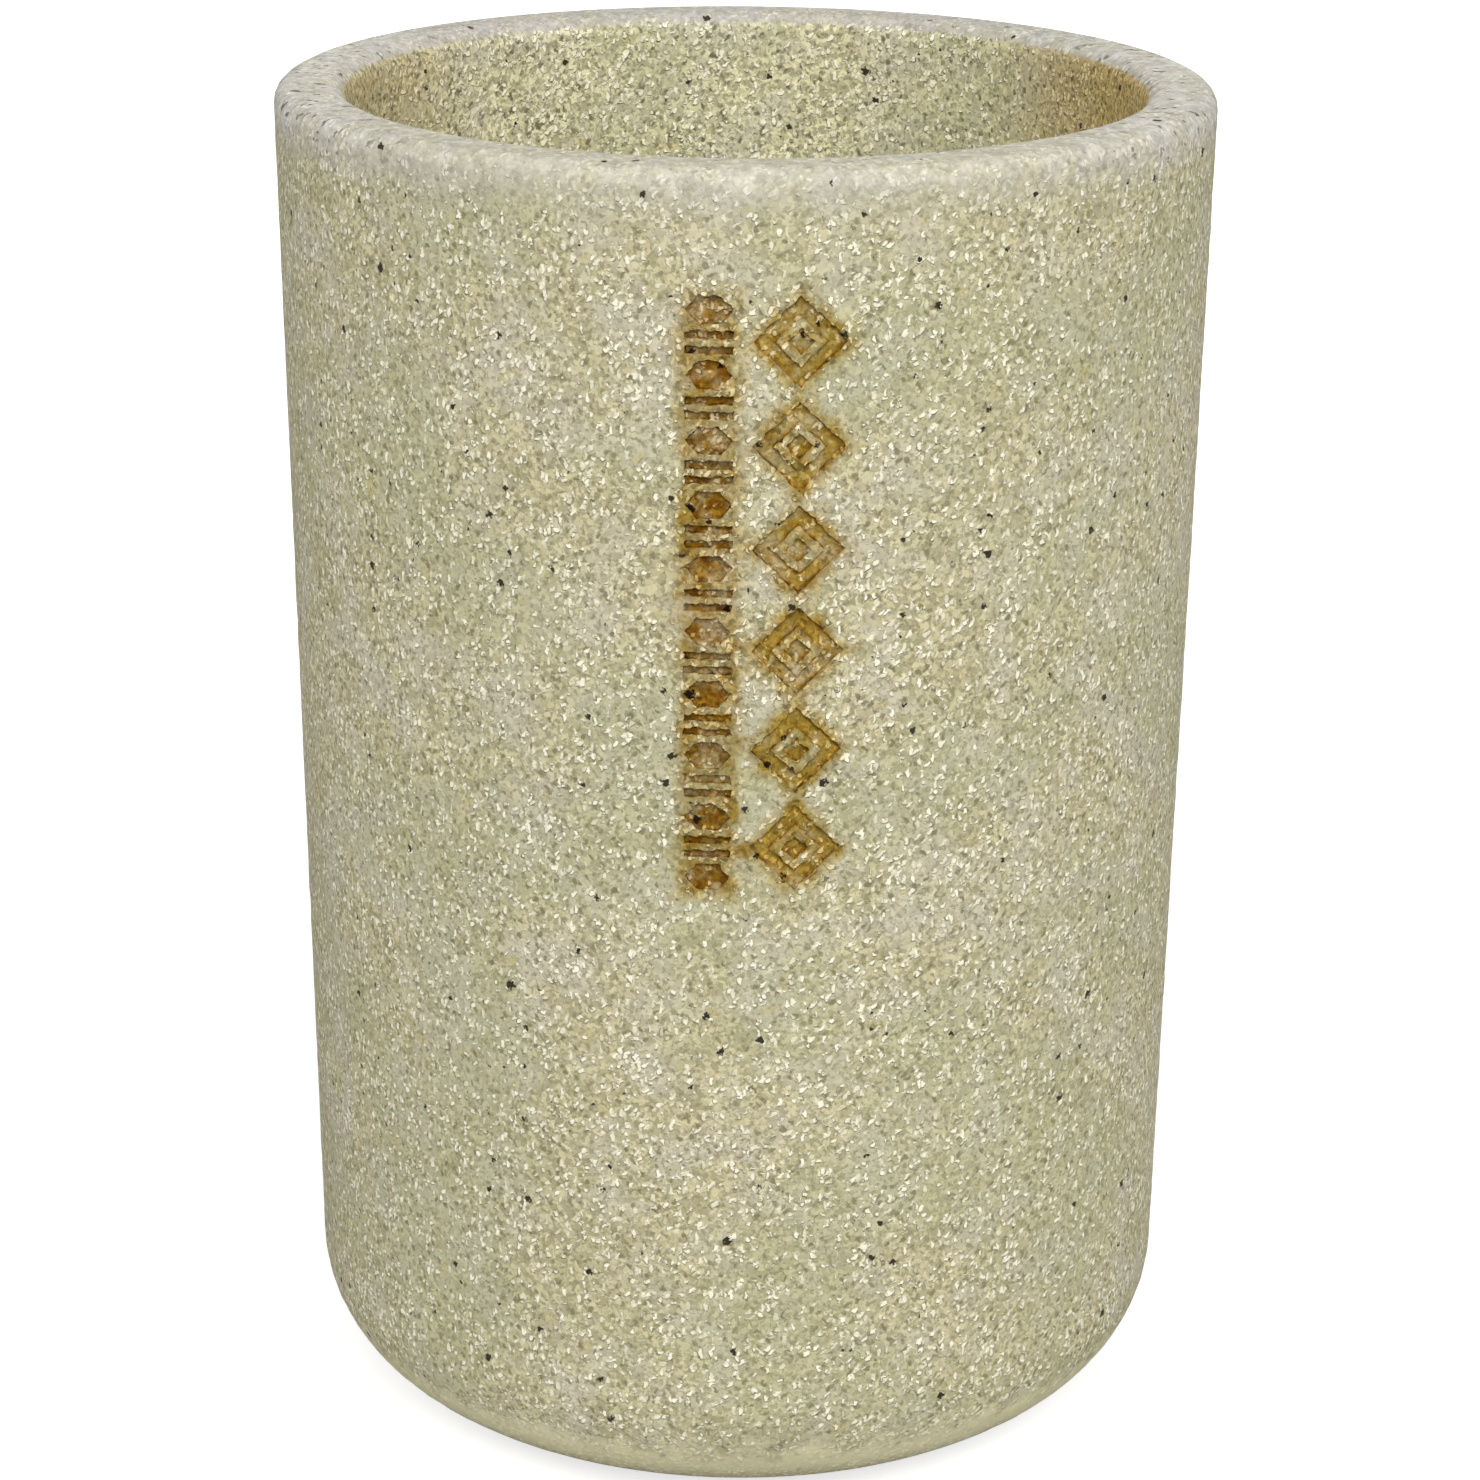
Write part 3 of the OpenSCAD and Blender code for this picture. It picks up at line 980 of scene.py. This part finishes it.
def flat_beads(casting, bands):
    """The narrow band's six-sided beads, with a pair of reels between every two."""
    width, height = NARROW_HIGH.x - NARROW_LOW.x, bead_height(bands)
    x, z = (NARROW_LOW.x + NARROW_HIGH.x) / 2, NARROW_LOW.z + height / 2
    bead = flat_plate(casting, x, z, width * bands.bead_flat, height)
    cut_edges(lambda edge: abs(edge.verts[0].co.z - edge.verts[1].co.z) > height / 2, 1)
    select_where('VERT', lambda vertex: at_height(vertex, z))
    bpy.ops.transform.resize(value=(1 / bands.bead_flat, 1, 1), center_override=(x, 0, z))
    cut_small(5)
    repeat_up(bead, bands.beads, height + reel_pair(bands))

    reel_z = NARROW_LOW.z + height + bands.reel_gap + bands.reel / 2
    reel = flat_plate(casting, x, reel_z, width, bands.reel)
    cut_edges(lambda edge: abs(edge.verts[0].co.x - edge.verts[1].co.x) > width / 2, 11)
    cut_small(1)
    repeat_up(reel, 2, bands.reel + bands.reel_gap)
    repeat_up(reel, bands.beads - 1, height + reel_pair(bands))
    activate(bead)
    reel.select_set(True)
    bpy.ops.object.join()
    return bead


def engrave(body, flat, tumbler):
    """Cuts the marks into the wall, and leaves the flat marks as a film on the floor of the engraving."""
    casting, bands = tumbler.casting, tumbler.bands
    lay_on_wall(flat, casting, bands.mark_depth)
    activate(flat)
    bpy.ops.object.duplicate()
    cutter = bpy.context.object
    modify(cutter, 'SOLIDIFY', thickness=2 * bands.mark_depth, offset=1, use_even_offset=True)
    modify(flat, 'SOLIDIFY', thickness=bands.film, offset=1, use_even_offset=True)
    modify(body, 'BOOLEAN', object=cutter, operation='DIFFERENCE', solver='MANIFOLD')
    bpy.data.objects.remove(cutter)
    roughen(flat, tumbler)
    return flat


class TUMBLER_OT_casting(bpy.types.Operator):
    """Model the casting, engrave both bands in it and lay their pigment"""
    bl_idname = "tumbler.casting"
    bl_label = "Casting and Bands"

    def execute(self, context):
        tumbler = context.scene.tumbler
        body = turn_blank(tumbler.casting)
        mesh_evenly(tumbler.casting, tumbler.bands)
        wide = engrave(body, flat_lozenges(tumbler.casting, tumbler.bands), tumbler)
        narrow = engrave(body, flat_beads(tumbler.casting, tumbler.bands), tumbler)
        roughen(body, tumbler)
        finish_piece(body, "tumbler_body", stone_material(tumbler))
        finish_piece(wide, "wide_band_stain", golden_stain_material(tumbler))
        finish_piece(narrow, "narrow_band_stain", brown_stain_material(tumbler))
        return {'FINISHED'}


# The pad

class TUMBLER_OT_pad(bpy.types.Operator):
    """Model the foam pad under the base"""
    bl_idname = "tumbler.pad"
    bl_label = "Base Pad"

    def execute(self, context):
        pad = context.scene.tumbler.pad
        radius = PAD_HIGH.x
        start_fresh()
        bpy.ops.mesh.primitive_cylinder_add(
            vertices=180, radius=radius, depth=PAD_HIGH.z - PAD_LOW.z, end_fill_type='NGON',
            location=(0, 0, (PAD_HIGH.z + PAD_LOW.z) / 2))
        piece = bpy.context.object
        settle()
        edit()
        for z in (PAD_LOW.z, PAD_HIGH.z):
            round_ring(radius, z, pad.edge_round, corner=math.pi / 2, face=0.1 * MM)
            ring_the_face(z, rings=30)
        leave()
        finish_piece(piece, "base_pad", foam_material(pad))
        return {'FINISHED'}


class TUMBLER_OT_adhesive(bpy.types.Operator):
    """Give the adhesive film over the pad its finish"""
    bl_idname = "tumbler.adhesive"
    bl_label = "Adhesive"

    def execute(self, context):
        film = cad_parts["pad_adhesive"]
        film.data.materials.clear()
        film.data.materials.append(adhesive_material(context.scene.tumbler.pad))
        return {'FINISHED'}


# The studio

def aim(piece, place, target, roll=0.0):
    """Puts a camera or a light at a place and turns it to a target, and then about its own axis."""
    piece.location = place
    turn = (Vector(target) - Vector(place)).to_track_quat('-Z', 'Y').to_matrix()
    piece.rotation_euler = (turn @ Matrix.Rotation(roll, 3, 'Z')).to_euler()


def add_camera(studio, target):
    away = Vector((0, -math.cos(studio.elevation), math.sin(studio.elevation)))
    start_fresh()
    bpy.ops.object.camera_add()
    camera = bpy.context.object
    aim(camera, target + away * studio.distance, target, studio.roll)
    camera.data.lens = studio.lens
    camera.data.sensor_width = 36
    camera.data.shift_x = (studio.picture / 2 - studio.axis_across) / studio.picture
    camera.data.shift_y = (studio.axis_down - studio.picture / 2) / studio.picture
    camera.data.clip_start = 0.01
    bpy.context.scene.camera = camera


def add_softbox(name, bearing, height, light, sheen):
    """A soft lamp at a bearing to the right of the front and a height over the horizon, in degrees."""
    bearing, height = math.radians(bearing), math.radians(height)
    level = math.cos(height)
    away = Vector((math.sin(bearing) * level, -math.cos(bearing) * level, math.sin(height)))
    start_fresh()
    bpy.ops.object.light_add(type='AREA')
    lamp = bpy.context.object
    lamp.name = name
    lamp.data.shape = 'DISK'
    lamp.data.size = LAMP_SIZE
    # A lamp of this power lights a face square to it as much as a white surround of strength light
    lamp.data.energy = light * math.pi ** 2 * LAMP_DISTANCE ** 2
    lamp.visible_glossy = sheen
    aim(lamp, away * LAMP_DISTANCE, LAMP_TARGET)


def add_floor(studio):
    """A wide floor that keeps the tumbler's shadow, and that the camera sees as white."""
    start_fresh()
    bpy.ops.mesh.primitive_circle_add(
        vertices=96, radius=FLOOR_RADIUS, fill_type='NGON', location=(0, 0, -FLOOR_DROP))
    settle()
    floor = bpy.context.object
    floor.name = "floor"
    material, g, shader, position = open_material("Paper floor")
    cloudy = g.ramp(g.noise(position, 60.0)[0], 0.3, 0.7, 0.0, 0.3)
    tone = g.mix(cloudy, rgba(studio.paper), rgba(studio.fibre))
    g.feed(shader, {'Base Color': tone, 'Roughness': 0.9})
    shader.inputs['Specular IOR Level'].default_value = 0.0
    seen = g.add('ShaderNodeLightPath', {})['Is Camera Ray']
    away = g.add('ShaderNodeVectorMath', {0: position}, operation='LENGTH')['Value']
    whiten = g.times(seen, g.ramp(away, 0.1, 0.5, 0.7, 1.0))
    lift = g.add('ShaderNodeEmission', {'Color': (1, 1, 1, 1), 'Strength': whiten})[0]
    both = g.add('ShaderNodeAddShader', {0: shader.outputs[0], 1: lift})[0]
    g.feed(material.node_tree.nodes["Material Output"], {'Surface': both})
    floor.data.materials.append(material)


def set_world():
    """An even white surround, plain white to the camera and softer as a light."""
    world = bpy.data.worlds.new("Studio")
    world.use_nodes = True
    bpy.context.scene.world = world
    g = Graph(world.node_tree)
    ray = g.add('ShaderNodeLightPath', {})
    seen = g.math('MAXIMUM', ray['Is Camera Ray'], g.times(ray['Is Glossy Ray'], 0.4))
    # As a light its strength is the range's low end, input 3, and as it is seen the high end, input 4
    strength = g.add('ShaderNodeMapRange', {'Value': seen, 3: 0.15, 4: 1.0})[0]
    g.feed(world.node_tree.nodes["Background"], {'Color': (1, 1, 1, 1), 'Strength': strength})


class TUMBLER_OT_studio(bpy.types.Operator):
    """Set up the floor, the soft light and the camera"""
    bl_idname = "tumbler.studio"
    bl_label = "Studio"

    def execute(self, context):
        studio = context.scene.tumbler.studio
        middle = Vector((0, 0, (BODY_LOW.z + BODY_HIGH.z) / 2))
        add_camera(studio, middle)
        add_floor(studio)
        set_world()
        for name, lamp in SOFTBOXES.items():
            add_softbox(name, *lamp)
        context.scene.view_settings.view_transform = 'Standard'
        return {'FINISHED'}


class TUMBLER_PT_panel(bpy.types.Panel):
    """Lists the steps that make the tumbler"""
    bl_label = "Tumbler"
    bl_idname = "TUMBLER_PT_panel"
    bl_space_type = 'VIEW_3D'
    bl_region_type = 'UI'
    bl_category = "Tumbler"

    def draw(self, context):
        for step in STEPS:
            self.layout.operator(step.bl_idname)


STEPS = (TUMBLER_OT_studio, TUMBLER_OT_casting, TUMBLER_OT_pad, TUMBLER_OT_adhesive)
CLASSES = (CastingSizes, BandSizes, StoneFinish, StainFinish, PadFinish, StudioSettings, TumblerSettings,
           *STEPS, TUMBLER_PT_panel)


def register():
    for cls in CLASSES:
        bpy.utils.register_class(cls)
    bpy.types.Scene.tumbler = bpy.props.PointerProperty(type=TumblerSettings)


def unregister():
    del bpy.types.Scene.tumbler
    for cls in reversed(CLASSES):
        bpy.utils.unregister_class(cls)


def main():
    register()
    bpy.ops.tumbler.studio()
    bpy.ops.tumbler.casting()
    bpy.ops.tumbler.pad()
    bpy.ops.tumbler.adhesive()


if __name__ == "__main__":
    main()
